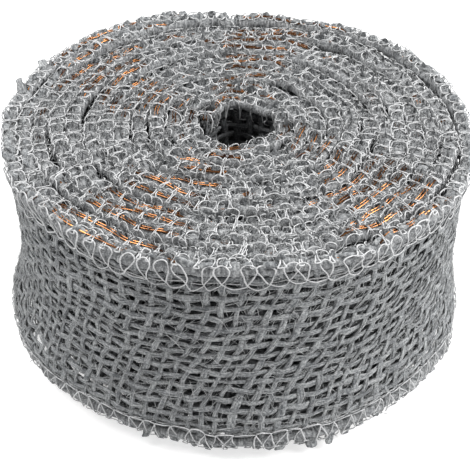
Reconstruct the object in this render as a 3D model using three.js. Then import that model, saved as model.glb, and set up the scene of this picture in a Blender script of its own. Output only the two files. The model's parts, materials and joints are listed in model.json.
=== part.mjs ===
// A coreless roll of wire-edged jute ribbon, standing on one of its edges.
// Millimetres. +Z is the axis of the roll, and z = 0 is the surface it stands on.
// One strip of open-weave cloth is wound from the central hole outwards. Both of its edges are
// overlocked: three threads hold a copper wire along each edge, from one end of the strip to the
// other. The last stretch of the outer turn, the loose end, stands a little away from the roll
// and swings out on the bend where it leaves it.
import * as THREE from 'three';

// The strip and the way it is wound.
const RIBBON_WIDTH = 50;
const CLOTH_THICKNESS = 1.0;
const ROLL_RADIUS = 52.6; // to the middle of the cloth at the outer end, before it lifts away
const HOLE_RADIUS = 8.2; // to the middle of the cloth at the inner end
const TURN_PITCH = 3.64; // from the middle of one turn to the middle of the next
const OUTER_END_POLAR = THREE.MathUtils.degToRad(105); // where the strip ends, round the roll

// The loose end.
const LOOSE_LENGTH = 41; // from the bend to the cut end of the strip
const END_LIFT = 1.5; // how far the cut end stands away from the roll
const LIFT_LENGTH = 55; // the stretch of strip that takes part in that lift

// The overlocked edges. Distances along the width are taken inwards from the nearer edge.
const STITCH_DEPTH = 6.2; // from the edge to the line where the needle goes in
const NEEDLE_WIDTH = 0.4;
const THREAD_THICKNESS = 0.35;
const WIRE_SIZE = 0.5;
const WIRE_INSET = 0.9; // from the edge to the wire
const LOOPER_INSET = 0.9; // from the edge to the loops on the face without the wire
const CLEARANCE = 0.3; // between two pieces that lie against each other

const FULL_TURN = 2 * Math.PI;

// How finely the spiral is faceted. The turns nearest the hole have half as many facets.
const FACETS_PER_TURN = 20;
const COARSE_RADIUS = 18;

const WOUND_ANGLE = ((ROLL_RADIUS - HOLE_RADIUS) / TURN_PITCH) * FULL_TURN;

// Places on the spiral are given by the angle wound inwards from the outer end.
function midRadius(wound) {
  const lifted = Math.max(0, 1 - (wound * ROLL_RADIUS) / LIFT_LENGTH);
  return ROLL_RADIUS - (TURN_PITCH * wound) / FULL_TURN + END_LIFT * lifted ** 2;
}

function planPoint(wound, offset) {
  const radius = midRadius(wound) + offset;
  const polar = OUTER_END_POLAR + wound;
  return new THREE.Vector2(radius * Math.cos(polar), radius * Math.sin(polar));
}

// The angles at which a stretch of the spiral has a corner. Every turn and every layer has its
// corners at the same places round the roll, so that facets side by side stay parallel.
function facetAngles(from, to) {
  const step = FULL_TURN / FACETS_PER_TURN;
  const shortest = step / 4;
  const corners = [from];
  for (let count = Math.ceil(from / step); count * step < to; count += 1) {
    const angle = count * step;
    const isCoarse = midRadius(angle) < COARSE_RADIUS;
    const isSkipped = isCoarse && count % 2 === 1;
    const isClear = angle - from > shortest && to - angle > shortest;
    if (isClear && !isSkipped) corners.push(angle);
  }
  corners.push(to);
  return corners;
}

// A layer of the wound strip: from one offset to another off the middle of the cloth, and from
// one height to another.
function woundLayer(angles, [inner, outer], [low, high]) {
  const outline = [
    ...angles.map((angle) => planPoint(angle, outer)),
    ...angles.toReversed().map((angle) => planPoint(angle, inner)),
  ];
  const depth = high - low;
  const geometry = new THREE.ExtrudeGeometry(new THREE.Shape(outline), { depth, bevelEnabled: false });
  return geometry.translate(0, 0, low);
}

function finish(color, roughness, metalness) {
  return () => new THREE.MeshStandardMaterial({ color, roughness, metalness });
}
const jute = finish(0x84888a, 0.95, 0);
const thread = finish(0xd2d6d5, 0.7, 0);
const copper = finish(0xb8683a, 0.35, 1);

// The layers of the cloth and of what lies on it: [from, to] off the middle of the cloth,
// outwards from the roll's axis.
const FACE = CLOTH_THICKNESS / 2;
const CLOTH_LAYER = [-FACE, FACE];
const OUTER_THREADS = [FACE + CLEARANCE, FACE + CLEARANCE + THREAD_THICKNESS];
const INNER_THREADS = [-OUTER_THREADS[1], -OUTER_THREADS[0]];
const WIRE_LAYER = [FACE + CLEARANCE, FACE + CLEARANCE + WIRE_SIZE];

// What is sewn to each edge: its layer, and its [from, to] inwards from the edge.
const WIRE_END = WIRE_INSET + WIRE_SIZE;
const EDGE_PIECES = {
  wire: { layer: WIRE_LAYER, band: [WIRE_INSET, WIRE_END], material: copper },
  upper_looper: {
    layer: OUTER_THREADS,
    band: [WIRE_END + CLEARANCE, STITCH_DEPTH - CLEARANCE],
    material: thread,
  },
  needle_thread: {
    layer: OUTER_THREADS,
    band: [STITCH_DEPTH, STITCH_DEPTH + NEEDLE_WIDTH],
    material: thread,
  },
  lower_looper: { layer: INNER_THREADS, band: [LOOPER_INSET, STITCH_DEPTH], material: thread },
};
const EDGES = {
  bottom: ([from, to]) => [from, to],
  top: ([from, to]) => [RIBBON_WIDTH - to, RIBBON_WIDTH - from],
};

// Every piece of one stretch of the strip, as meshes whose names start with prefix.
function stretchOfRibbon(prefix, from, to) {
  const angles = facetAngles(from, to);
  const make = (name, layer, heights, material) => {
    const mesh = new THREE.Mesh(woundLayer(angles, layer, heights), material());
    mesh.name = prefix + name;
    return mesh;
  };
  const meshes = [make('web', CLOTH_LAYER, [0, RIBBON_WIDTH], jute)];
  for (const [edge, place] of Object.entries(EDGES)) {
    for (const [name, piece] of Object.entries(EDGE_PIECES)) {
      meshes.push(make(`${name}_${edge}`, piece.layer, place(piece.band), piece.material));
    }
  }
  return meshes;
}

// The bend is at the outermost layer, so that the pieces of the loose end only move away from
// those of the roll as it swings out.
const BEND_ANGLE = LOOSE_LENGTH / ROLL_RADIUS;
const HALF_BEND_GAP = CLEARANCE / 2 / midRadius(BEND_ANGLE);
const bendPoint = planPoint(BEND_ANGLE, Math.max(OUTER_THREADS[1], WIRE_LAYER[1]) + CLEARANCE / 2);

const roll = new THREE.Group();
roll.name = 'roll';
roll.add(...stretchOfRibbon('roll_', BEND_ANGLE + HALF_BEND_GAP, WOUND_ANGLE));

// The group of the loose end sits on the bend: turning it about Z peels the end off the roll.
const looseEnd = new THREE.Group();
looseEnd.name = 'loose_end';
looseEnd.position.set(bendPoint.x, bendPoint.y, 0);
for (const mesh of stretchOfRibbon('end_', 0, BEND_ANGLE - HALF_BEND_GAP)) {
  mesh.position.set(-bendPoint.x, -bendPoint.y, 0);
  looseEnd.add(mesh);
}

// The origin is under the middle of the roll's own width and depth.
const ribbonRoll = new THREE.Group();
ribbonRoll.add(roll, looseEnd);
const middle = new THREE.Box3().setFromObject(ribbonRoll).getCenter(new THREE.Vector3());
ribbonRoll.position.set(-middle.x, -middle.y, 0);

export default ribbonRoll;
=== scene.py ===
# %% [markdown]
# # A roll of wire-edged jute ribbon
#
# The object is a coreless roll of open-weave jute ribbon, 50 mm wide and a little over 2.3 m
# long, standing on one of its edges. Both edges are overlocked with a pale thread, and a thin
# copper wire lies under the stitches. Everything on it is a strand of some kind: flat yarns,
# sewing thread, wire and loose fibres.
#
# So the ribbon is made flat first, as it comes off the loom. In flat ribbon coordinates x runs
# along the strip from its loose end, y runs across it from the bottom edge, and z stands off its
# outer face. Node trees lay the strands there, and one node group, "Roll up", then winds any
# shape in those coordinates onto the roll. Yarn, stitches and wire stay together because they
# all go through the same winding.

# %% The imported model
import json
import math

import bpy
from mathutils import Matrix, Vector


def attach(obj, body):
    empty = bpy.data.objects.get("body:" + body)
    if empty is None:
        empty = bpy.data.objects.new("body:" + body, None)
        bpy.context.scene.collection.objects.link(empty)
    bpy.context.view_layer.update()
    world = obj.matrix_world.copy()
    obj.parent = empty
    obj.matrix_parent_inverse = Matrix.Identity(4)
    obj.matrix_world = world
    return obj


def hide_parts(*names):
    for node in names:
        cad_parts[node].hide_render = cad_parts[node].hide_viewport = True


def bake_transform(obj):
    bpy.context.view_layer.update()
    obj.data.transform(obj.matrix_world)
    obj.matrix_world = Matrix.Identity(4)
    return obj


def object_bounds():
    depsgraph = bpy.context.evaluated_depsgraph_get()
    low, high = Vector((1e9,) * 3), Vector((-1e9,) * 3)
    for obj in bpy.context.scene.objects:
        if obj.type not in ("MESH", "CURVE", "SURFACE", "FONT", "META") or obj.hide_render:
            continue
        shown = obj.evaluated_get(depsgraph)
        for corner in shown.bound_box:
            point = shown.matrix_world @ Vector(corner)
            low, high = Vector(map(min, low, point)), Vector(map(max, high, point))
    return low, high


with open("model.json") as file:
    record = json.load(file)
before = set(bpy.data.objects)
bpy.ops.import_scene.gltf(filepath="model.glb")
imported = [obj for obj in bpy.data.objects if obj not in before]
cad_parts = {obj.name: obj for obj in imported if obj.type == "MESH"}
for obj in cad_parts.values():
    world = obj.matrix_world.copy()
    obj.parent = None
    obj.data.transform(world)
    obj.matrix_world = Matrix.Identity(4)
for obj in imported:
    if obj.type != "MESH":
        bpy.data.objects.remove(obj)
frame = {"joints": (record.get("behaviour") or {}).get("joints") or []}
cad_low, cad_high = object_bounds()
scene = bpy.context.scene
print("CAD box in mm:", [round(x * 1000, 1) for x in (*cad_low, *cad_high)])

# %% [markdown]
# The measures of the winding are those of the CAD model. The spiral starts at the loose end and
# gets one pitch closer to the axis with every turn. The place of its axis follows from the hinge
# of the loose end, which lies just outside the outermost layer.

# %% Measures, in metres
MM = 0.001
RIBBON_WIDTH = cad_high.z - cad_low.z
ROLL_RADIUS = 52.6 * MM  # to the middle of the cloth at the loose end
HOLE_RADIUS = 8.2 * MM
TURN_PITCH = 3.64 * MM
OUTER_END_POLAR = math.radians(105)
END_LIFT = 1.5 * MM
LIFT_LENGTH = 55 * MM
LOOSE_LENGTH = 41 * MM
BEND_OFFSET = 1.45 * MM  # from the middle of the cloth to the hinge

TAU = 2 * math.pi
BEND_ANGLE = LOOSE_LENGTH / ROLL_RADIUS


def mid_radius(wound):
    lifted = max(0.0, 1 - wound * ROLL_RADIUS / LIFT_LENGTH)
    return ROLL_RADIUS - TURN_PITCH * wound / TAU + END_LIFT * lifted**2


hinge = Vector(frame["joints"][0]["pos_m"])
bend_polar = OUTER_END_POLAR + BEND_ANGLE
to_hinge = mid_radius(BEND_ANGLE) + BEND_OFFSET
AXIS_X = hinge.x - to_hinge * math.cos(bend_polar)
AXIS_Y = hinge.y - to_hinge * math.sin(bend_polar)
STRIP_LENGTH = (ROLL_RADIUS**2 - HOLE_RADIUS**2) * math.pi / TURN_PITCH
print("axis of the roll in mm:", round(AXIS_X * 1000, 2), round(AXIS_Y * 1000, 2))
print("length of the strip in m:", round(STRIP_LENGTH, 3))

# %% [markdown]
# ## Camera, floor and light
#
# The roll is seen from the front and from 37 degrees above. The copper shows as four bright
# patches, at the left and right of the front and of the back. A thin ring of wire glints at the
# two places, opposite each other, where it is square to the line halfway between the eye and a
# lamp. So the lamps stand along two such lines, one to the left and one to the right, with a
# broad softbox and a smaller top light on each. A pale dome fills the shadows.

# %% Camera
VIEW_ELEVATION = math.radians(37)
CAMERA_DISTANCE = 287 * MM
LOOK_AT = Vector((-0.3 * MM, 0, 19.8 * MM))

camera_data = bpy.data.cameras.new("camera")
camera_data.sensor_width = 36
camera_data.lens = 90.7
camera_data.clip_start = 0.01
camera = bpy.data.objects.new("camera", camera_data)
scene.collection.objects.link(camera)
away = Vector((0, -math.cos(VIEW_ELEVATION), math.sin(VIEW_ELEVATION)))
camera.location = LOOK_AT + away * CAMERA_DISTANCE
camera.rotation_euler = (math.pi / 2 - VIEW_ELEVATION, 0, 0)
scene.camera = camera


# %% Lamps and dome
def lamp(name, place, side, power):
    """A square lamp, its side in metres and its power in watts, that aims at the roll."""
    data = bpy.data.lights.new(name, "AREA")
    data.shape = "SQUARE"
    data.size = side
    data.energy = power
    obj = bpy.data.objects.new(name, data)
    scene.collection.objects.link(obj)
    obj.location = place
    aim = Vector((0, 0, RIBBON_WIDTH / 2)) - obj.location
    obj.rotation_euler = aim.to_track_quat("-Z", "Y").to_euler()


lamp("left softbox", (-0.482, -0.048, 0.661), 0.35, 5.0)
lamp("right softbox", (0.643, -0.126, 0.483), 0.35, 8.4)
lamp("left top light", (-0.275, 0.247, 0.735), 0.3, 2.2)
lamp("right top light", (0.257, 0.334, 0.705), 0.3, 2.2)

dome = bpy.data.worlds.new("dome")
scene.world = dome
dome.use_nodes = True
dome.node_tree.nodes["Background"].inputs["Color"].default_value = (1, 1, 1, 1)
dome.node_tree.nodes["Background"].inputs["Strength"].default_value = 0.28
scene.view_settings.view_transform = "Standard"

# %% [markdown]
# ## Helpers for node trees
#
# Node trees are easier to read as sums. A Field stands for a value that changes from point to
# point, and arithmetic on fields adds the Math nodes. The same helpers build the trees that make
# shapes and the ones that colour them.


# %% Fields and nodes
def feed(tree, socket, value):
    if isinstance(value, Field):
        tree.links.new(value.socket, socket)
    else:
        socket.default_value = value


def calc(tree, operation, *values):
    node = tree.nodes.new("ShaderNodeMath")
    node.operation = operation
    for socket, value in zip(node.inputs, values):
        feed(tree, socket, value)
    return Field(tree, node.outputs[0])


class Field:
    def __init__(self, tree, socket):
        self.tree, self.socket = tree, socket

    def math(self, operation, *others):
        return calc(self.tree, operation, self, *others)

    def __add__(self, other):
        return self.math("ADD", other)

    def __mul__(self, other):
        return self.math("MULTIPLY", other)

    def __sub__(self, other):
        return self.math("SUBTRACT", other)

    def __truediv__(self, other):
        return self.math("DIVIDE", other)

    def __rsub__(self, other):
        return calc(self.tree, "SUBTRACT", other, self)

    __radd__ = __add__
    __rmul__ = __mul__


def add(tree, kind, feeds=(), output=None, **settings):
    """Adds a node, feeds its sockets by name or number, and returns one of its outputs."""
    node = tree.nodes.new(kind)
    for name, value in settings.items():
        setattr(node, name, value)
    usable = [s for s in node.inputs if s.enabled]
    for name, value in dict(feeds).items():
        named = usable[name] if isinstance(name, int) else next(s for s in usable if s.name == name)
        feed(tree, named, value)
    outputs = [s for s in node.outputs if s.enabled]
    wanted = outputs[0] if output is None else next(s for s in outputs if s.name == output)
    return Field(tree, wanted)


def combine(tree, x, y, z):
    return add(tree, "ShaderNodeCombineXYZ", {"X": x, "Y": y, "Z": z})


def split(vector):
    node = add(vector.tree, "ShaderNodeSeparateXYZ", {0: vector}).socket.node
    return [Field(vector.tree, s) for s in node.outputs]


def wander(tree, x, y, z, detail=1.0):
    """Smooth chance, mostly from -1 to 1, that changes over about one unit of x, y and z."""
    point = combine(tree, x, y, z)
    noise = add(tree, "ShaderNodeTexNoise", {"Vector": point, "Scale": 1.0, "Detail": detail})
    return (noise - 0.5) * 4


def ramp(value, start, end, low=0.0, high=1.0):
    """low before start, high after end, and a soft slope in between."""
    feeds = {0: value, 1: start, 2: end, 3: low, 4: high}
    return add(value.tree, "ShaderNodeMapRange", feeds, interpolation_type="SMOOTHSTEP")


def new_tree(name, **inputs):
    """A Geometry Nodes group with a named input for each keyword, and a list of its fields."""
    tree = bpy.data.node_groups.new(name, "GeometryNodeTree")
    tree.interface.new_socket("Geometry", in_out="INPUT", socket_type="NodeSocketGeometry")
    tree.interface.new_socket("Geometry", in_out="OUTPUT", socket_type="NodeSocketGeometry")
    kinds = {float: "NodeSocketFloat", int: "NodeSocketInt", bool: "NodeSocketBool"}
    for label, value in inputs.items():
        kind = kinds.get(type(value), "NodeSocketMaterial")
        title = label.replace("_", " ").capitalize()
        socket = tree.interface.new_socket(title, in_out="INPUT", socket_type=kind)
        if value is not None:
            socket.default_value = value
    sockets = tree.nodes.new("NodeGroupInput").outputs
    return tree, [Field(tree, s) for s in list(sockets)[: len(inputs) + 1]]


def end_tree(tree, geometry):
    feed(tree, tree.nodes.new("NodeGroupOutput").inputs[0], geometry)


# %% [markdown]
# ## Rolling up the flat ribbon
#
# Winding turns a length along the strip into an angle round the axis. On a spiral that loses one
# pitch a turn, the length is a simple sum of the angle and its square, which can be turned round
# to give the angle.
#
# A real roll isn't a perfect spiral. The open cloth is pulled askew, so the crosswise yarns lean;
# the turns lie closer here and further apart there; some stand a little higher than their
# neighbours; the lower edge of the outer turns spreads, most of all at the left, and its last few
# millimetres curl in under the roll. Each of these is a slow wander that runs on from turn to
# turn, so that neighbours never run into each other.

# %% How far the roll strays from a perfect spiral
LEAN_SHIFT = 7.5 * MM  # of the crosswise yarns, at the top and at the bottom
YARN_SHIFT = 0.9 * MM, 0.7 * MM  # of single crossings, along and across the strip
BILLOW = 0.3 * MM
FLARE, LEFT_FLARE = 2.3 * MM, 2.3 * MM  # of the lower edge all round, and at the left besides
TOP_SPREAD = 0.8 * MM
TOP_REACH = 1.2 * MM  # how much further up the top edge stands, pulled upright by its stitches
SLACK = 0.5 * MM  # between one turn and the next
EDGE_LEAN = 0.9 * MM
RISE = 0.8 * MM  # of one turn above its neighbours
TOP_RISE = 0.8  # how much more the top edge rises and falls than the bottom edge
TUCK_HEIGHT = 6.2 * MM  # how much of the lower edge curls in under the roll
TUCK, TUCK_CHANGE = 2.6 * MM, 0.9 * MM  # how far in, and how much that changes round the roll


# %% The winding
def wound_angle(length):
    """The angle wound inwards from the loose end, for a length along the strip."""
    spare = ROLL_RADIUS**2 - length * (TURN_PITCH / math.pi)
    return (ROLL_RADIUS - spare.math("MAXIMUM", 1e-6).math("SQRT")) * (TAU / TURN_PITCH)


roll_up, (flat_shape,) = new_tree("Roll up")
here = add(roll_up, "GeometryNodeInputPosition")
along, across, off = split(here)

leaning = ramp(along, 0.05, 0.17) + 0.25 * wander(roll_up, along / 0.09, 0.5, 3.5)
height = (across / RIBBON_WIDTH * 2 - 1).math("MINIMUM", 0.8).math("MAXIMUM", -0.8) * 1.25
askew = leaning * LEAN_SHIFT * height * (1.5 - 0.5 * height * height)
shift_along = YARN_SHIFT[0] * wander(roll_up, along / (7 * MM), across / (8 * MM), 0.0)
shift_across = YARN_SHIFT[1] * wander(roll_up, along / (9 * MM), across / (7 * MM), 20.0)
billow = BILLOW * wander(roll_up, along / (11 * MM), across / (11 * MM), 40.0)
length = along + askew + shift_along
level = across + shift_across

wound = wound_angle(length)
turn = wound / TAU
polar = wound + OUTER_END_POLAR
east, north = polar.math("COSINE"), polar.math("SINE")
lifted = (1 - wound * (ROLL_RADIUS / LIFT_LENGTH)).math("MAXIMUM", 0.0)
radius = ROLL_RADIUS - turn * TURN_PITCH + lifted * lifted * END_LIFT

outwards = (radius / ROLL_RADIUS).math("POWER", 2.0)
top_part = ramp(level, 0.6 * RIBBON_WIDTH, RIBBON_WIDTH)
bottom_part = ramp(level, 0.45 * RIBBON_WIDTH, 0.0)
to_left = (polar - math.radians(185)).math("COSINE").math("MAXIMUM", 0.0)
flare = FLARE + LEFT_FLARE * to_left * to_left
spread = outwards * (bottom_part * flare + top_part * TOP_SPREAD)
slack = SLACK * wander(roll_up, east * 1.3, north * 1.3, turn * 0.5)
top_lean = EDGE_LEAN * top_part * wander(roll_up, east * 2.4 + 7.0, north * 2.4, turn * 0.8)
low_lean = EDGE_LEAN * bottom_part * wander(roll_up, east * 2.4, north * 2.4 + 7.0, turn * 0.8)
rise = RISE * wander(roll_up, east * 0.9 + 31.0, north * 0.9, turn * 0.8)
rise = rise * (1.0 + TOP_RISE * top_part)

tuck_here = TUCK - TUCK_CHANGE * (polar - math.radians(330)).math("COSINE")
tuck = outwards * tuck_here * (1.0 - level / TUCK_HEIGHT).math("MAXIMUM", 0.0)

reach = radius + off + billow + spread + slack + top_lean + low_lean - tuck
stands_at = level + rise + TOP_REACH * top_part + 0.35 * tuck
place = combine(roll_up, reach * east + AXIS_X, reach * north + AXIS_Y, stands_at)
rolled = add(roll_up, "GeometryNodeSetPosition", {"Geometry": flat_shape, "Position": place})
end_tree(roll_up, rolled)


def finish_shape(tree, mesh, material):
    """The end of every tree: smooth it, wind it up, realise it and give it its material."""
    shape = add(tree, "GeometryNodeSetShadeSmooth", {"Geometry": mesh})
    winding = tree.nodes.new("GeometryNodeGroup")
    winding.node_tree = roll_up
    feed(tree, winding.inputs[0], shape)
    whole = add(tree, "GeometryNodeRealizeInstances", {0: Field(tree, winding.outputs[0])})
    end_tree(tree, add(tree, "GeometryNodeSetMaterial", {0: whole, "Material": material}))


def make_piece(name, tree, material, pattern=(), **values):
    """Runs a tree once and keeps the result as a plain mesh in an object of its own."""
    mesh = bpy.data.meshes.new(name)
    if pattern:
        mesh.from_pydata(pattern, [(n, n + 1) for n in range(len(pattern) - 1)], [])
    piece = bpy.data.objects.new(name, mesh)
    scene.collection.objects.link(piece)
    maker = piece.modifiers.new("make", "NODES")
    maker.node_group = tree
    sockets = {s.name: s.identifier for s in tree.interface.items_tree if s.in_out == "INPUT"}
    for label, value in {**values, "material": material}.items():
        maker[sockets[label.replace("_", " ").capitalize()]] = value
    made = bpy.data.meshes.new_from_object(
        piece.evaluated_get(bpy.context.evaluated_depsgraph_get())
    )
    piece.modifiers.clear()
    piece.data = made
    made.name = name
    triangles = sum(len(p.vertices) - 2 for p in made.polygons)
    print(f"{name}: {triangles} triangles")
    return piece


# %% [markdown]
# ## Finishes
#
# Every strand carries two numbers made with it: "along", its length so far in metres, and
# "side", from -1 to 1 across it. Colour and bump that read those follow the strand round the
# roll. One shader group, "Fibres", turns them into fine streaks, and a second noise in object
# coordinates speckles the tone, because loose fibres cross the yarns at random.
#
# The same finish is mixed five ways: coarse and dark for the jute yarns, a little paler for the
# felt along the edges and paler still for the single fibres, fine and pale for the sewing
# thread, and darkest for the cloth inside the roll: that darkness is painted shade, for the
# little light that gets in there. The copper is painted dark brown in random patches along the
# wire, a painted dark reflection of its surroundings.


# %% Fibres, a shader group that jute and thread share
def shader_tree(name, inputs, outputs):
    tree = bpy.data.node_groups.new(name, "ShaderNodeTree")
    for label, value in inputs.items():
        socket = tree.interface.new_socket(label, in_out="INPUT", socket_type="NodeSocketFloat")
        socket.default_value = value
    for label in outputs:
        tree.interface.new_socket(label, in_out="OUTPUT", socket_type="NodeSocketFloat")
    sockets = tree.nodes.new("NodeGroupInput").outputs
    return tree, [Field(tree, s) for s in list(sockets)[: len(inputs)]]


fibres, (fibre_length, fibre_count) = shader_tree(
    "Fibres", {"Length": 6 * MM, "Count": 5.0}, ("Streak", "Patch")
)
strand_along = add(fibres, "ShaderNodeAttribute", output="Fac", attribute_name="along")
strand_side = add(fibres, "ShaderNodeAttribute", output="Fac", attribute_name="side")
strand_no = add(fibres, "ShaderNodeAttribute", output="Fac", attribute_name="strand")
streak_at = combine(fibres, strand_along / fibre_length, strand_side * fibre_count, strand_no * 3.7)
streak = add(fibres, "ShaderNodeTexNoise", {"Vector": streak_at, "Scale": 1.0, "Detail": 4.0})
patch_at = combine(fibres, strand_along / (fibre_length * 3), strand_no * 5.3, 0.0)
patch = add(fibres, "ShaderNodeTexNoise", {"Vector": patch_at, "Scale": 1.0, "Detail": 2.0})
fibres_out = fibres.nodes.new("NodeGroupOutput")
feed(fibres, fibres_out.inputs["Streak"], streak)
feed(fibres, fibres_out.inputs["Patch"], patch)


# %% Jute, thread and copper
def new_material(name, roughness, metallic=0.0):
    material = bpy.data.materials.new(name)
    material.use_nodes = True
    surface = material.node_tree.nodes["Principled BSDF"]
    surface.inputs["Roughness"].default_value = roughness
    surface.inputs["Metallic"].default_value = metallic
    return material, material.node_tree, surface


def colour_ramp(tree, value, *stops):
    band = add(tree, "ShaderNodeValToRGB", {0: value}, output="Color")
    elements = band.socket.node.color_ramp.elements
    while len(elements) < len(stops):
        elements.new(0.5)
    for element, (place, colour) in zip(elements, stops):
        element.position = place
        element.color = (*colour, 1)
    return band


SPECK = 0.45 * MM
TONES = 0.40, 0.5, 0.61  # where the dark, the middle and the pale lie on the scale of the noise


def strand_finish(name, roughness, fibre, across, bump, shades):
    """Streaky grey: how long a fibre is, how many lie across, and its dark, middle and pale."""
    material, tree, surface = new_material(name, roughness)
    streaks = tree.nodes.new("ShaderNodeGroup")
    streaks.node_tree = fibres
    streaks.inputs["Length"].default_value = fibre
    streaks.inputs["Count"].default_value = across
    streak = Field(tree, streaks.outputs["Streak"])
    patch = Field(tree, streaks.outputs["Patch"])
    at = add(tree, "ShaderNodeTexCoord", output="Object")
    speckle = add(tree, "ShaderNodeTexNoise", {"Vector": at, "Scale": 1 / SPECK, "Detail": 2.0})
    tone = streak * 0.42 + patch * 0.2 + speckle * 0.38
    feed(tree, surface.inputs["Base Color"], colour_ramp(tree, tone, *zip(TONES, shades)))
    feeds = {"Strength": 0.6, "Distance": bump, "Height": streak * 0.6 + speckle * 0.4}
    feed(tree, surface.inputs["Normal"], add(tree, "ShaderNodeBump", feeds))
    return material


jute = strand_finish(
    "jute", 0.85, 2.5 * MM, 2.4, 0.3 * MM,
    ((0.07, 0.075, 0.08), (0.185, 0.192, 0.198), (0.38, 0.39, 0.39)),
)  # fmt: skip
# Painted shade: a darker copy of the jute for the cloth inside the roll, where little light gets
# in.
jute_in_painted_shade = strand_finish(
    "jute in painted shade", 0.9, 2.5 * MM, 2.4, 0.3 * MM,
    ((0.025, 0.028, 0.03), (0.08, 0.083, 0.086), (0.18, 0.185, 0.19)),
)  # fmt: skip
jute_felt = strand_finish(
    "jute felt", 0.9, 2.5 * MM, 2.4, 0.3 * MM,
    ((0.10, 0.105, 0.11), (0.22, 0.225, 0.23), (0.40, 0.41, 0.41)),
)  # fmt: skip
jute_fibres = strand_finish(
    "jute fibres", 0.8, 3 * MM, 1.0, 0.05 * MM,
    ((0.15, 0.155, 0.16), (0.33, 0.337, 0.34), (0.50, 0.51, 0.51)),
)  # fmt: skip
thread = strand_finish(
    "thread", 0.6, 0.8 * MM, 1.5, 0.05 * MM,
    ((0.33, 0.335, 0.34), (0.49, 0.495, 0.50), (0.60, 0.60, 0.60)),
)  # fmt: skip

copper, copper_tree, copper_surface = new_material("copper", 0.28, metallic=1.0)
wire_at = add(copper_tree, "ShaderNodeAttribute", output="Fac", attribute_name="along")
# Painted shade: the dark end of the copper's colour is a painted dark reflection, spread in random
# patches along the wire; the pale end is lower in roughness.
painted_reflection_at = combine(copper_tree, wire_at / (6 * MM), 0.0, 0.0)
painted_reflection_patches = add(copper_tree, "ShaderNodeTexNoise", {"Vector": painted_reflection_at, "Scale": 1.0, "Detail": 4.0})
tint = colour_ramp(copper_tree, painted_reflection_patches, (0.38, (0.06, 0.032, 0.024)), (0.62, (0.48, 0.21, 0.08)))
feed(copper_tree, copper_surface.inputs["Base Color"], tint)
feed(copper_tree, copper_surface.inputs["Roughness"], ramp(painted_reflection_patches, 0.35, 0.6, 0.35, 0.2))

# %% [markdown]
# ## The woven cloth
#
# The cloth is a plain weave of flat, hardly twisted yarns: 20 of them run the whole length of
# the strip, 2.45 mm apart, and about 700 cross it, 3.3 mm apart. Each goes over one and under the
# next. A picture of a weave on a smooth sheet would not let light through the holes, and the
# holes are what makes this cloth, so each yarn is a real flattened strand. Each waves along a
# cosine, and its neighbour is half a wave out of step.


# %% Yarns as lines
WARPS = 20
WARP_PITCH = RIBBON_WIDTH / (WARPS + 0.4)
WEFT_PITCH = 3.3 * MM
WAVE = 0.20 * MM  # how far a yarn swings to each side of the cloth's middle


def named(tree, name):
    return add(tree, "GeometryNodeInputNamedAttribute", {"Name": name}, "Attribute")


def keep(tree, geometry, name, value):
    feeds = {"Geometry": geometry, "Name": name, "Value": value}
    return add(tree, "GeometryNodeStoreNamedAttribute", feeds)


def yarn_lines(tree, crosswise, start, end, detail, strands, spread, twist):
    """Waving yarns in flat ribbon coordinates, each as one or more strands twisted round it."""
    crossings = ((end - start) / WEFT_PITCH).math("ROUND")
    yarns = crossings if crosswise else WARPS
    posts = add(tree, "GeometryNodeMeshLine", {"Count": strands * yarns})
    posts = keep(tree, posts, "line", add(tree, "GeometryNodeInputIndex") * 1.0)
    line = named(tree, "line")
    yarn = ((line + 0.5) / strands).math("FLOOR") + 0.5
    if crosswise:
        post = combine(tree, start + yarn * WEFT_PITCH, 0.0, 0.0)
        ends = (0.0, 0.0, 0.0), (0.0, RIBBON_WIDTH, 0.0)
        points = detail * WARPS + 1
    else:
        post = combine(tree, 0.0, (yarn + 0.2) * WARP_PITCH, 0.0)
        ends = combine(tree, start, 0.0, 0.0), combine(tree, end, 0.0, 0.0)
        points = detail * crossings + 1
    posts = add(tree, "GeometryNodeSetPosition", {"Geometry": posts, "Position": post})
    path = add(tree, "GeometryNodeCurvePrimitiveLine", {"Start": ends[0], "End": ends[1]})
    path = add(tree, "GeometryNodeResampleCurve", {"Curve": path, "Count": points})
    laid = add(tree, "GeometryNodeInstanceOnPoints", {"Points": posts, "Instance": path})
    laid = add(tree, "GeometryNodeRealizeInstances", {0: laid})

    x, y, _ = split(add(tree, "GeometryNodeInputPosition"))
    over = ((x / WEFT_PITCH + y / WARP_PITCH - 1.2) * math.pi).math("COSINE") * WAVE
    which = (x / WEFT_PITCH if crosswise else y / WARP_PITCH).math("FLOOR")
    run = y if crosswise else x
    seed = 60.0 if crosswise else 30.0
    part = line - (yarn - 0.5) * strands
    turned = run / twist + part * (TAU / 3) + which * 2.4
    drift = turned.math("SINE") + 0.6 * wander(tree, run / (4 * MM), which * 3.1 + part, seed + 9)
    sway = 0.2 * MM * wander(tree, run / (7 * MM), which * 3.7, seed) + spread * drift
    lift = turned.math("COSINE") * (0.45 * spread)
    if crosswise:
        stray = 0.3 * MM * wander(tree, which * 3.7, 0.3, seed + 5)
        above = 0.9 * MM + 0.9 * MM * wander(tree, which * 3.7, part * 2.3, seed + 6)
        below = 1.2 * MM + 0.9 * MM * wander(tree, which * 3.7, part * 2.3, seed + 7)
        level = y * (1 + (above + below) / RIBBON_WIDTH) - below
        moved = combine(tree, x + sway + stray, level, lift - over)
    else:
        moved = combine(tree, x, y + sway, lift + over)
    laid = keep(tree, laid, "along", run)
    laid = keep(tree, laid, "strand", which + part * 0.37 + seed)
    return add(tree, "GeometryNodeSetPosition", {"Geometry": laid, "Position": moved})


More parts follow.
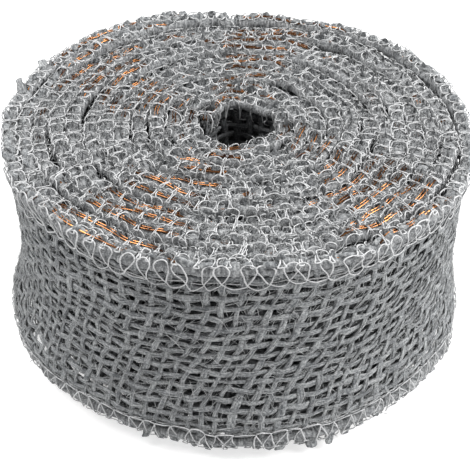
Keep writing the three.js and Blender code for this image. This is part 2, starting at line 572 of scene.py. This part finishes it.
def strand_tube(tree, lines, sides, width, thickness, swell):
    """Sweeps a flattened section along lines. Swell scales it from point to point."""
    section = add(tree, "GeometryNodeCurvePrimitiveCircle", {"Resolution": sides, "Radius": 1.0})
    section = keep(tree, section, "side", split(add(tree, "GeometryNodeInputPosition"))[0])
    size = combine(tree, width / 2, thickness / 2, 1.0)
    section = add(tree, "GeometryNodeTransform", {"Geometry": section, "Scale": size})
    lines = add(tree, "GeometryNodeSetCurveNormal", {"Curve": lines}, mode="Z_UP")
    feeds = {"Curve": lines, "Profile Curve": section, "Scale": swell, "Fill Caps": True}
    return add(tree, "GeometryNodeCurveToMesh", feeds)


def join(tree, *parts):
    node = tree.nodes.new("GeometryNodeJoinGeometry")
    for part in reversed(parts):
        tree.links.new(part.socket, node.inputs[0])
    return Field(tree, node.outputs[0])


# %% The weave
def yarn_swell(tree, crosswise, fullness):
    """Slubs, and on a crosswise yarn a full stretch near each edge that thins to its cut end."""
    run, which = named(tree, "along"), named(tree, "strand")
    slub = 0.24 * wander(tree, run / (4 * MM), which * 2.9, 2.0, 2.0)
    heavy = 0.26 * wander(tree, which * 4.3, 0.4, run / (40 * MM))
    swell = (slub + heavy + fullness).math("MAXIMUM", 0.45)
    if crosswise:
        from_edge = run.math("MINIMUM", RIBBON_WIDTH - run)
        swell = swell * ramp(from_edge, 0.0, 1.2 * MM, 0.35, 1.6)
        swell = swell * ramp(from_edge, 2 * MM, 6 * MM, 1.0, 0.65)
    return swell


def yarn_tree(name, strands, spread, twist, sizes):
    tree, fields = new_tree(
        name, start=0.0, end=0.1, detail=2, sides=4, fullness=1.0, lengthwise=True, crosswise=True,
        material=None,
    )  # fmt: skip
    _, start, end, detail, sides, fullness, *wanted, material = fields
    parts = []
    for crosswise, (width, thickness) in enumerate(sizes):
        lines = yarn_lines(tree, crosswise, start, end, detail, strands, spread, twist)
        swell = yarn_swell(tree, crosswise, fullness)
        tube = strand_tube(tree, lines, sides, width, thickness, swell)
        switch = {"Switch": wanted[crosswise], "True": tube}
        parts.append(add(tree, "GeometryNodeSwitch", switch, input_type="GEOMETRY"))
    finish_shape(tree, join(tree, *parts), material)
    return tree


YARN_SIZES = (1.32 * MM, 0.34 * MM), (1.28 * MM, 0.32 * MM)  # width and thickness, each way
cloth_tree = yarn_tree("Woven cloth", 1, 0.0, 1.0, YARN_SIZES)

# Where the strip is divided into pieces, in millimetres from its loose end. Every bound is an
# even number of crosswise yarns, and all but the inner end are whole numbers of 3.6 mm stitches.
LOOSE_PART = (0, 79.2)
OUTER_WRAP = (79.2, 396)
INNER_TURNS = {"outer": (396, 1029.6), "middle": (1029.6, 1663.2), "core": (1663.2, 2323.2)}


def settle(piece, on_roll, node):
    """Parents a finished piece to the roll, or leaves it in place unparented as part of the loose
    end, and hides the CAD part it replaces.
    """
    if on_roll:
        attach(piece, "roll")
        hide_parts(f"roll_{node}")
    else:
        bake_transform(piece)
        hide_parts(f"end_{node}")
    return piece


def make_cloth(name, bounds, detail, sides, fullness=1.0, material=jute):
    """Weaves one stretch of the strip, and gives the piece and how long the stretch is."""
    start, end = (b * MM for b in bounds)
    piece = make_piece(
        name, cloth_tree, material,
        start=start, end=end, detail=detail, sides=sides, fullness=fullness,
    )  # fmt: skip
    return settle(piece, start > 0, "web"), end - start


CORE_FULLNESS = 1.7  # full yarns close the walls of the hole
cloths = {
    "web_loose_end": make_cloth("web_loose_end", LOOSE_PART, detail=3, sides=6),
    "web_outer_wrap": make_cloth("web_outer_wrap", OUTER_WRAP, detail=3, sides=6),
}
# The inner turns wear the darker jute, which is painted shade.
for part_name, part_bounds in INNER_TURNS.items():
    cloth_name = f"web_{part_name}_turns"
    cloths[cloth_name] = make_cloth(
        cloth_name, part_bounds, detail=2, sides=3, material=jute_in_painted_shade,
        fullness=CORE_FULLNESS if part_name == "core" else 1.0,
    )  # fmt: skip

# %% [markdown]
# Round each flat yarn of the outer wrap and of the loose end lie two thin fibres, which wander
# over its face and out at its sides. They break up the straight sides of the yarns, as loose
# jute does. The same yarn lines make them, with two thin strands to a yarn instead of one wide
# one.

# %% Fibres along the yarns
FIBRE_SIZE = 0.17 * MM, 0.12 * MM
FIBRE_SPREAD, FIBRE_TWIST = 0.55 * MM, 2.2 * MM
fibre_tree = yarn_tree("Fibres on yarns", 2, FIBRE_SPREAD, FIBRE_TWIST, (FIBRE_SIZE, FIBRE_SIZE))
loose_extras, wrap_extras = [], []
for label, part_bounds, extras in (
    ("loose_end", LOOSE_PART, loose_extras),
    ("outer_wrap", OUTER_WRAP, wrap_extras),
):
    start, end = (b * MM for b in part_bounds)
    for direction in ("lengthwise", "crosswise"):
        piece = make_piece(
            f"{direction}_fibres_{label}", fibre_tree, jute_fibres, start=start, end=end, sides=3,
            lengthwise=direction == "lengthwise", crosswise=direction == "crosswise",
        )  # fmt: skip
        extras.append(settle(piece, start > 0, "web"))

# %% [markdown]
# ## Overlocked edges
#
# Three threads bind each edge. The needle thread runs along a line a little over 5 mm in from
# the edge and dips through the cloth once a stitch. The upper looper lies on the outer face: from
# each needle hole it goes up to the edge, round in a wide arch, and back to the same hole, so that
# every stitch looks like a drop. The lower looper comes up the inner face, runs along its rim, and
# reaches over the edge once a stitch to hold two arches together. Seen from above, its two legs
# are a rung, and the edge looks like a ladder wound into a spiral.
#
# Each thread is one long line that repeats a short pattern. The pattern is a polyline of one
# stitch: how far along the stitch, how deep in from the edge in millimetres, and how far off the
# cloth. The tree looks the pattern up point by point and gives every stitch its own width, lean
# and slack; the rungs slant one way for a few stitches and then the other. Drawing it as a
# picture would not do, because the arches stand up over the edge.

# %% Stitch patterns
STITCH = 3.6 * MM
THREAD_SIZE = 0.27 * MM
NEEDLE_DEPTH, LINK_DEPTH = 5.3, 5.9  # in millimetres in from the edge, like the patterns

# How much one stitch differs from the next
HOLE_STRAY = 0.10  # of the needle hole along the edge, in stitches
WIDTH_STRAY = 0.28  # as a share of the stitch's own width
TILT_STRAY = 0.28  # of the arch along the edge, in stitches
SLANT = 0.15  # along the edge, in stitches for each millimetre off the cloth
TIGHTNESS = 0.8  # across the edge, in millimetres
HEIGHT_STRAY = 0.2  # as a share of how far the thread lies off the cloth

UPPER_LOOPER = (
    (0.00, 5.20, 0.65), (-0.09, 4.20, 1.00), (-0.22, 2.90, 1.45), (-0.35, 1.60, 1.80),
    (-0.38, 0.70, 1.85), (-0.24, 0.10, 1.55), (0.00, -0.05, 1.30), (0.24, 0.10, 1.55),
    (0.38, 0.70, 1.85), (0.35, 1.60, 1.80), (0.22, 2.90, 1.45), (0.09, 4.20, 1.00),
    (0.03, 5.10, 0.60), (0.26, 5.75, 0.80), (0.50, 5.95, 0.85), (0.74, 5.75, 0.80),
)  # fmt: skip
LOWER_LOOPER = (
    (0.00, 4.80, -0.75), (0.03, 2.80, -1.15), (0.06, 0.70, -1.55), (0.12, 0.15, -1.50),
    (0.30, 0.10, -1.42), (0.40, -0.05, -1.05), (0.45, -0.12, -0.10), (0.43, 0.00, 0.90),
    (0.36, 0.30, 1.60), (0.64, 0.30, 1.60), (0.57, 0.00, 0.90), (0.55, -0.12, -0.10),
    (0.60, -0.05, -1.05), (0.70, 0.10, -1.42), (0.88, 0.15, -1.50), (0.94, 0.70, -1.55),
    (0.97, 2.80, -1.15),
)  # fmt: skip
NEEDLE_THREAD = (
    (0.00, 5.35, -0.15), (0.10, 5.25, 0.02), (0.35, 5.20, 0.14), (0.65, 5.20, 0.14),
    (0.90, 5.25, 0.02),
)  # fmt: skip


# %% The thread tree
def chance(tree, number, seed, low=-1.0, high=1.0):
    feeds = {"Min": low, "Max": high, "ID": number, "Seed": seed}
    return add(tree, "FunctionNodeRandomValue", feeds)


def level_from(tree, top, depth):
    """The place across the ribbon that lies so deep in from its top or bottom edge."""
    choice = {"Switch": top, "False": depth, "True": RIBBON_WIDTH - depth}
    return add(tree, "GeometryNodeSwitch", choice, input_type="FLOAT")


overlock_tree, overlock_fields = new_tree(
    "Overlock thread", first=0, stitches=10, top=True, detail=2, sides=4, seed=1, material=None
)
pattern, first, stitches, top, detail, sides, seed, thread_material = overlock_fields
size_feeds = {"Geometry": pattern}
steps = add(overlock_tree, "GeometryNodeAttributeDomainSize", size_feeds, "Point Count")
one_line = add(overlock_tree, "GeometryNodeCurvePrimitiveLine")
one_line = add(
    overlock_tree, "GeometryNodeResampleCurve", {"Curve": one_line, "Count": stitches * steps + 1}
)
index = add(overlock_tree, "GeometryNodeInputIndex")
stitch = ((index + 0.5) / steps).math("FLOOR")
sample = {
    "Geometry": pattern,
    "Value": add(overlock_tree, "GeometryNodeInputPosition"),
    "Index": index - stitch * steps,
}
forward, deep, proud = split(
    add(overlock_tree, "GeometryNodeSampleIndex", sample, data_type="FLOAT_VECTOR")
)
number = first + stitch
free = 1.0 - deep / NEEDLE_DEPTH  # none at the needle hole, most at the edge
hole = HOLE_STRAY * chance(overlock_tree, number, 7)  # the same for all three threads of an edge
bulge = 1.0 + WIDTH_STRAY * chance(overlock_tree, number, seed)
tilt = TILT_STRAY * chance(overlock_tree, number, seed + 1) * free
slant = SLANT * proud * wander(overlock_tree, number * 0.31, 3.0, seed * 2.7) * free
tight = TIGHTNESS * chance(overlock_tree, number, seed + 2, -1.0, 0.9)
link = ramp(deep, NEEDLE_DEPTH, LINK_DEPTH)  # the thread between two needle holes hangs slack
off_cloth = proud * (1.0 + HEIGHT_STRAY * chance(overlock_tree, number, seed + 3))
forward = (number + hole + forward * bulge + tilt + slant) * STITCH
deep = (deep + link * tight + 0.3 * (1.0 - link) * tight) * MM
level = level_from(overlock_tree, top, deep)
stitch_place = combine(overlock_tree, forward, level, off_cloth * MM)
one_line = keep(overlock_tree, one_line, "along", index * (0.8 * MM))
one_line = keep(overlock_tree, one_line, "strand", seed * 1.0)
one_line = add(
    overlock_tree, "GeometryNodeSetPosition", {"Geometry": one_line, "Position": stitch_place}
)
one_line = add(
    overlock_tree, "GeometryNodeCurveSplineType", {"Curve": one_line}, spline_type="CATMULL_ROM"
)
one_line = add(
    overlock_tree, "GeometryNodeSetSplineResolution", {"Geometry": one_line, "Resolution": detail}
)
tube = strand_tube(overlock_tree, one_line, sides, THREAD_SIZE, THREAD_SIZE, 1.0)
finish_shape(overlock_tree, tube, thread_material)


# %% Threads of both edges
THREADS = {
    "upper_looper": (UPPER_LOOPER, 10),
    "lower_looper": (LOWER_LOOPER, 20),
    "needle_thread": (NEEDLE_THREAD, 30),
}
inner_end = INNER_TURNS["core"][1]
THREAD_PARTS = {
    "loose_end": (LOOSE_PART, 3, 6),
    "outer_wrap": (OUTER_WRAP, 3, 6),
    "inner_turns": ((OUTER_WRAP[1], inner_end), 2, 4),
}
HIDDEN_DETAIL = 1, 3  # for threads that lie deep between the turns or under the roll
STITCH_MM = STITCH / MM
for edge in ("top", "bottom"):
    for thread_name, (stitch_pattern, thread_seed) in THREADS.items():
        for part_name, (part_bounds, part_detail, part_sides) in THREAD_PARTS.items():
            if part_name == "inner_turns" and (edge == "bottom" or thread_name == "needle_thread"):
                part_detail, part_sides = HIDDEN_DETAIL
            piece = make_piece(
                f"{thread_name}_{edge}_{part_name}",
                overlock_tree,
                thread,
                pattern=stitch_pattern,
                first=round(part_bounds[0] / STITCH_MM),
                stitches=round((part_bounds[1] - part_bounds[0]) / STITCH_MM),
                top=edge == "top",
                detail=part_detail,
                sides=part_sides,
                seed=thread_seed + (100 if edge == "top" else 0),
            )
            settle(piece, part_bounds[0] > 0, f"{thread_name}_{edge}")
            if part_name == "loose_end":
                loose_extras.append(piece)
            if part_name == "outer_wrap":
                wrap_extras.append(piece)

# %% [markdown]
# ## Wire
#
# A thin copper wire runs in each edge, under the arches and close to the cut ends of the
# crosswise yarns, so that it shows from both faces. It is doubled: two fine strands lie side by
# side. In some places it lies bare between the rungs of the stitches, and in others the felted
# yarn ends have swallowed it, so its depth wanders.

# %% Wires
WIRE_SIZE = 0.42 * MM
WIRE_APART = 0.33 * MM  # from the middle of the pair to each strand
WIRE_BARE, WIRE_SUNK = 0.1 * MM, 1.0 * MM  # how deep it lies in the edge
BARE_ZONES = 68, 135, 226, 306  # where most of it is bare, in degrees round the roll
ZONE_HALF, ZONE_CORE = 0.4, 0.12  # half the width of a zone and of its middle, in radians
WIRE_STEP = 1.5 * MM
wire_tree, wire_fields = new_tree("Edge wire", start=0.0, end=0.1, top=True, material=None)
_, wire_start, wire_end, top, wire_material = wire_fields
wire_ends = {
    "Start": combine(wire_tree, wire_start, 0.0, 0.0), "End": combine(wire_tree, wire_end, 0.0, 0.0)
}  # fmt: skip
wire_line = add(wire_tree, "GeometryNodeCurvePrimitiveLine", wire_ends)
wire_count = (wire_end - wire_start) / WIRE_STEP
wire_line = add(
    wire_tree, "GeometryNodeResampleCurve", {"Curve": wire_line, "Count": wire_count}
)
x = split(add(wire_tree, "GeometryNodeInputPosition"))[0]
wire_line = keep(wire_tree, wire_line, "along", x)
wire_polar = wound_angle(x) + OUTER_END_POLAR
bare = 0.0
for zone in BARE_ZONES:
    towards = (wire_polar - math.radians(zone)).math("COSINE")
    bare = ramp(towards, math.cos(ZONE_HALF), math.cos(ZONE_CORE)) + bare
bare = ramp(wander(wire_tree, x / (9 * MM), 2.0, 0.0) + bare, 0.25, 0.85)
wire_depth = WIRE_SUNK + bare * (WIRE_BARE - WIRE_SUNK)
wire_depth = wire_depth + 0.06 * MM * wander(wire_tree, x / (9 * MM), 4.0, 0.0)
wire_off = 0.2 * MM * wander(wire_tree, x / (14 * MM), 8.0, 0.0)
strands = []
for side in (-1, 1):
    wire_place = combine(
        wire_tree, x, level_from(wire_tree, top, wire_depth), wire_off + side * WIRE_APART
    )
    wire_strand = add(
        wire_tree, "GeometryNodeSetPosition", {"Geometry": wire_line, "Position": wire_place}
    )
    strands.append(strand_tube(wire_tree, wire_strand, 7, WIRE_SIZE, WIRE_SIZE, 1.0))
finish_shape(wire_tree, join(wire_tree, *strands), wire_material)

for edge in ("top", "bottom"):
    for part_name, (start, end) in {
        "loose_end": LOOSE_PART, "roll": (OUTER_WRAP[0], inner_end)
    }.items():  # fmt: skip
        piece = make_piece(
            f"wire_{edge}_{part_name}", wire_tree, copper,
            start=start * MM, end=end * MM, top=edge == "top",
        )  # fmt: skip
        settle(piece, start > 0, f"wire_{edge}")
        if part_name == "loose_end":
            loose_extras.append(piece)

# %% [markdown]
# ## Felted and frayed edges
#
# Under the stitches the cut ends of the crosswise yarns are bent over, crushed and felted into a
# soft bead, which fills the room between one turn and the next. Loose fibres stand out of it, and
# on the outer turn whole tufts do. The bead is a lumpy tube along the edge, the fibres are short
# bent strands strewn by chance, and a tuft is a short blunt cone, squashed flat and bent.

# %% The felted bead
BEAD_DEPTH = 1.75 * MM
BEAD_HALF_WIDTH, BEAD_HALF_HEIGHT = 1.25 * MM, 1.52 * MM
BEAD_LUMPS = 0.33 * MM
bead_tree, bead_fields = new_tree(
    "Felted edge", start=0.0, end=0.1, step=0.6, sides=10, top=True, material=None
)
_, bead_start, bead_end, bead_step, bead_sides, top, bead_material = bead_fields
bead_ends = {
    "Start": combine(bead_tree, bead_start, 0.0, 0.0), "End": combine(bead_tree, bead_end, 0.0, 0.0)
}  # fmt: skip
bead_line = add(bead_tree, "GeometryNodeCurvePrimitiveLine", bead_ends)
bead_count = (bead_end - bead_start) / (bead_step * MM)
bead_line = add(
    bead_tree, "GeometryNodeResampleCurve", {"Curve": bead_line, "Count": bead_count}
)
x = split(add(bead_tree, "GeometryNodeInputPosition"))[0]
bead_depth = BEAD_DEPTH + 0.25 * MM * wander(bead_tree, x / (3 * MM), 1.0, 0.0)
bead_off = 0.25 * MM * wander(bead_tree, x / (4 * MM), 5.0, 0.0)
bead_place = combine(bead_tree, x, level_from(bead_tree, top, bead_depth), bead_off)
bead_line = keep(bead_tree, bead_line, "side", x / (1.1 * MM))
whole = ramp(x, 0.0, 4 * MM, 0.3, 1.0) * ramp(inner_end * MM - x, 0.0, 9 * MM, 0.1, 1.0)
bead_line = keep(bead_tree, bead_line, "whole", whole)
bead_line = keep(bead_tree, bead_line, "strand", 0.0)
bead_line = add(
    bead_tree, "GeometryNodeSetPosition", {"Geometry": bead_line, "Position": bead_place}
)
ring = add(bead_tree, "GeometryNodeCurvePrimitiveCircle", {"Resolution": bead_sides, "Radius": 1.0})
ring_length = add(bead_tree, "GeometryNodeSplineParameter", output="Length")
ring = keep(bead_tree, ring, "along", (ring_length - math.pi).math("ABSOLUTE") * MM)
ring_size = (BEAD_HALF_WIDTH, BEAD_HALF_HEIGHT, 1.0)
ring = add(bead_tree, "GeometryNodeTransform", {"Geometry": ring, "Scale": ring_size})
bead_line = add(bead_tree, "GeometryNodeSetCurveNormal", {"Curve": bead_line}, mode="Z_UP")
bead_swell = 1.0 + 0.18 * wander(bead_tree, named(bead_tree, "side") / 2.2, 3.0, 0.0)
bead_swell = bead_swell * named(bead_tree, "whole")
bead = {"Curve": bead_line, "Profile Curve": ring, "Scale": bead_swell, "Fill Caps": True}
bead = add(bead_tree, "GeometryNodeCurveToMesh", bead)
x, y, z = split(add(bead_tree, "GeometryNodeInputPosition"))
lump = wander(bead_tree, x / (0.9 * MM), y / (0.9 * MM), z / (0.9 * MM), 3.0)
normal = add(bead_tree, "GeometryNodeInputNormal")
push = add(
    bead_tree, "ShaderNodeVectorMath", {0: normal, "Scale": lump * BEAD_LUMPS}, operation="SCALE"
)
bead = add(bead_tree, "GeometryNodeSetPosition", {"Geometry": bead, "Offset": push})
finish_shape(bead_tree, bead, bead_material)

EDGE_PARTS = {
    "loose_end": LOOSE_PART, "outer_wrap": OUTER_WRAP, "inner_turns": (OUTER_WRAP[1], inner_end)
}  # fmt: skip


def edge_piece(name, tree, material, edge, part_name, **values):
    """A piece along one edge of one part of the strip."""
    start, end = (b * MM for b in EDGE_PARTS[part_name])
    piece = make_piece(
        f"{name}_{edge}_{part_name}", tree, material,
        start=start, end=end, top=edge == "top", **values,
    )  # fmt: skip
    settle(piece, start > 0, "web")
    if part_name == "loose_end":
        loose_extras.append(piece)
    if part_name == "outer_wrap":
        wrap_extras.append(piece)


for edge in ("top", "bottom"):
    for part_name in EDGE_PARTS:
        hidden = edge == "bottom" and part_name == "inner_turns"
        step, sides = (1.2, 7) if hidden else (0.6, 10)
        edge_piece("felted_edge", bead_tree, jute_felt, edge, part_name, step=step, sides=sides)

# %% Frayed fibres
fray_tree, fray_fields = new_tree(
    "Frayed fibres", start=0.0, end=0.1, depth_from=-1.0, depth_to=4.0, off=1.3, per_metre=1000.0,
    length=3.0, size=0.14, curl=0.5, tilt=0.9, top=True, seed=1, material=None,
)  # fmt: skip
(
    _, fray_start, fray_end, depth_from, depth_to, fray_off, per_metre, fray_length, fray_size,
    fray_curl, fray_tilt, top, seed, fray_material,
) = fray_fields  # fmt: skip
fray_count = (fray_end - fray_start) * per_metre
roots = add(fray_tree, "GeometryNodePoints", {"Count": fray_count})
index = add(fray_tree, "GeometryNodeInputIndex")
root_place = combine(
    fray_tree,
    chance(fray_tree, index, seed, fray_start, fray_end),
    level_from(fray_tree, top, chance(fray_tree, index, seed + 1, depth_from, depth_to) * MM),
    chance(fray_tree, index, seed + 2) * fray_off * MM,
)
roots = keep(fray_tree, roots, "strand", index * 1.0)
roots = add(fray_tree, "GeometryNodeSetPosition", {"Geometry": roots, "Position": root_place})
hair = add(
    fray_tree, "GeometryNodeCurvePrimitiveLine",
    {"Start": (-0.5, 0.0, 0.0), "End": (0.5, 0.0, 0.0)},
)  # fmt: skip
hair = add(fray_tree, "GeometryNodeResampleCurve", {"Curve": hair, "Count": 4})
hair_size = fray_length * MM * chance(fray_tree, index, seed + 6, 0.4, 1.2)
spin = combine(
    fray_tree,
    0.0,
    chance(fray_tree, index, seed + 4) * fray_tilt,
    chance(fray_tree, index, seed + 5) * math.pi,
)
sown = {"Points": roots, "Instance": hair, "Rotation": spin, "Scale": hair_size}
hairs = add(fray_tree, "GeometryNodeInstanceOnPoints", sown)
hairs = add(fray_tree, "GeometryNodeRealizeInstances", {0: hairs})
x, y, z = split(add(fray_tree, "GeometryNodeInputPosition"))
apart = named(fray_tree, "strand") * 3.3
x_bend, y_bend, z_bend = (
    fray_curl * MM * wander(fray_tree, x / (1.5 * MM) + apart, y / (1.5 * MM), z / (1.5 * MM) + k)
    for k in (0.0, 9.0, 18.0)
)
hairs = keep(fray_tree, hairs, "along", x + y)
bent = combine(fray_tree, x + x_bend, y + y_bend, z + z_bend * fray_tilt)
hairs = add(fray_tree, "GeometryNodeSetPosition", {"Geometry": hairs, "Position": bent})
fray = strand_tube(fray_tree, hairs, 3, fray_size * MM, fray_size * MM, 1.0)
finish_shape(fray_tree, fray, fray_material)

for edge in ("top", "bottom"):
    for part_name in EDGE_PARTS:
        inside = part_name == "inner_turns"
        underneath = 500.0 if inside else 2400.0
        edge_piece(
            "frayed_fibres", fray_tree, jute_fibres, edge, part_name,
            depth_from=-0.3, depth_to=2.6, off=1.8 if inside else 1.2, length=3.2, size=0.14,
            curl=0.5, seed=40, per_metre=3800.0 if edge == "top" else underneath,
        )  # fmt: skip

edge_piece(
    "fuzz", fray_tree, jute_felt, "top", "inner_turns", depth_from=-0.4, depth_to=1.4, off=1.6,
    length=2.2, size=0.2, curl=0.5, tilt=0.7, per_metre=2600.0, seed=50,
)  # fmt: skip

# %% Stray fibres on the face of the cloth
for part_name in ("loose_end", "outer_wrap"):
    edge_piece(
        "stray_fibres", fray_tree, jute_fibres, "top", part_name, depth_from=3.0, depth_to=47.0,
        off=0.5, length=5.0, size=0.11, curl=0.6, tilt=0.12, per_metre=19500.0, seed=60,
    )  # fmt: skip

# %% Tufts
TUFT_WIDTH, WIDER_AT_END = 1.45, 0.6  # in millimetres, from the middle of a tuft to its side
TUFT_THICKNESS = 0.8  # in millimetres, from its middle to its face
tuft_tree, tuft_fields = new_tree(
    "Edge tufts", start=0.0, end=0.1, height=1.0, taller=0.0, top=True, seed=1, material=None
)
_, tuft_start, tuft_end, tuft_height, taller, top, seed, tuft_material = tuft_fields
tuft_count = ((tuft_end - tuft_start) / STITCH).math("ROUND")
tuft_roots = add(tuft_tree, "GeometryNodePoints", {"Count": tuft_count})
index = add(tuft_tree, "GeometryNodeInputIndex")
tuft_place = combine(
    tuft_tree,
    tuft_start + (index + 0.25 * chance(tuft_tree, index, seed)) * STITCH,
    level_from(tuft_tree, top, 0.6 * MM),
    0.5 * MM * chance(tuft_tree, index, seed + 1),
)
tuft_roots = keep(tuft_tree, tuft_roots, "strand", index * 1.0)
tuft_roots = add(
    tuft_tree, "GeometryNodeSetPosition", {"Geometry": tuft_roots, "Position": tuft_place}
)
cone_shape = {"Vertices": 8, "Side Segments": 5, "Radius Top": 0.68, "Radius Bottom": 1.0}
cone = add(tuft_tree, "GeometryNodeMeshCone", {**cone_shape, "Depth": 1.0})
x, _, z = split(add(tuft_tree, "GeometryNodeInputPosition"))
cone = keep(tuft_tree, cone, "along", z * (3 * MM))
cone = keep(tuft_tree, cone, "side", x)
TUFT_TURN = math.pi / 2 - 0.55  # so that a tuft stands away from the edge and a little outwards
upright = add(
    tuft_tree, "GeometryNodeSwitch", {"Switch": top, "False": TUFT_TURN, "True": -TUFT_TURN},
    input_type="FLOAT",
)  # fmt: skip
tuft_turn = combine(
    tuft_tree,
    upright + 0.35 * chance(tuft_tree, index, seed + 2),
    0.0,
    0.45 * chance(tuft_tree, index, seed + 3),
)
tuft_at = index * STITCH + tuft_start
near_end = ramp(tuft_at, 0.025, 0.045) * ramp(tuft_at, 0.085, 0.10, 1.0, 0.0)
tall = taller * near_end * ramp(chance(tuft_tree, index, seed + 5, 0.0, 1.0), 0.5, 0.9)
tall = tall + tuft_height * chance(tuft_tree, index, seed + 4, 0.6, 1.2)
tuft_size = combine(
    tuft_tree,
    (TUFT_WIDTH + WIDER_AT_END * near_end) * MM * chance(tuft_tree, index, seed + 6, 0.8, 1.15),
    TUFT_THICKNESS * MM * chance(tuft_tree, index, seed + 7, 0.6, 1.15),
    tall * MM,
)
sown = {"Points": tuft_roots, "Instance": cone, "Rotation": tuft_turn, "Scale": tuft_size}
tufts = add(tuft_tree, "GeometryNodeInstanceOnPoints", sown)
tufts = add(tuft_tree, "GeometryNodeRealizeInstances", {0: tufts})
x, y, z = split(add(tuft_tree, "GeometryNodeInputPosition"))
x_bend, y_bend, z_bend = (
    0.3 * MM * wander(tuft_tree, x / MM, y / MM, z / MM + k, 3.0) for k in (0.0, 9.0, 18.0)
)
bent = combine(tuft_tree, x + x_bend, y + y_bend, z + z_bend)
tufts = add(tuft_tree, "GeometryNodeSetPosition", {"Geometry": tufts, "Position": bent})
finish_shape(tuft_tree, tufts, tuft_material)

for edge, tuft_height in (("top", 1.2), ("bottom", 2.5)):
    for part_name in ("loose_end", "outer_wrap"):
        edge_piece(
            "tufts", tuft_tree, jute, edge, part_name, height=tuft_height,
            taller=2.2 if edge == "top" else 0.0, seed=80,
        )  # fmt: skip

# %% [markdown]
# ## What is a sheet
#
# Each stretch of cloth has a flat size of its own: the ribbon's width by its length along the
# strip. The strip is stretched round the roll, and the threads, wires and fibres go with it. The
# loop below only pairs each stretch with the pieces that lie on it.

for cloth_name, (cloth, cloth_length) in cloths.items():
    extras = {"web_loose_end": loose_extras, "web_outer_wrap": wrap_extras}.get(cloth_name, [])

# %% [markdown]
# ## The floor
#
# A plain pale floor lies just under the lowest tufts. It glows a little, so that it stays nearly
# white where the roll shades it.

# %% Floor
FLOOR_HALF = 3.0
FLOOR_GREY, FLOOR_GLOW = 0.45, 0.68
floor_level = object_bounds()[0].z - 0.2 * MM
floor_mesh = bpy.data.meshes.new("floor")
square = ((-1, -1), (1, -1), (1, 1), (-1, 1))
corners = [(x * FLOOR_HALF, y * FLOOR_HALF, floor_level) for x, y in square]
floor_mesh.from_pydata(corners, [], [(0, 1, 2, 3)])
floor = bpy.data.objects.new("floor", floor_mesh)
scene.collection.objects.link(floor)
floor_paint, _, floor_surface = new_material("floor paint", 0.9)
floor_surface.inputs["Base Color"].default_value = (FLOOR_GREY, FLOOR_GREY, FLOOR_GREY, 1)
floor_surface.inputs["Emission Color"].default_value = (1, 1, 1, 1)
floor_surface.inputs["Emission Strength"].default_value = FLOOR_GLOW
floor_mesh.materials.append(floor_paint)
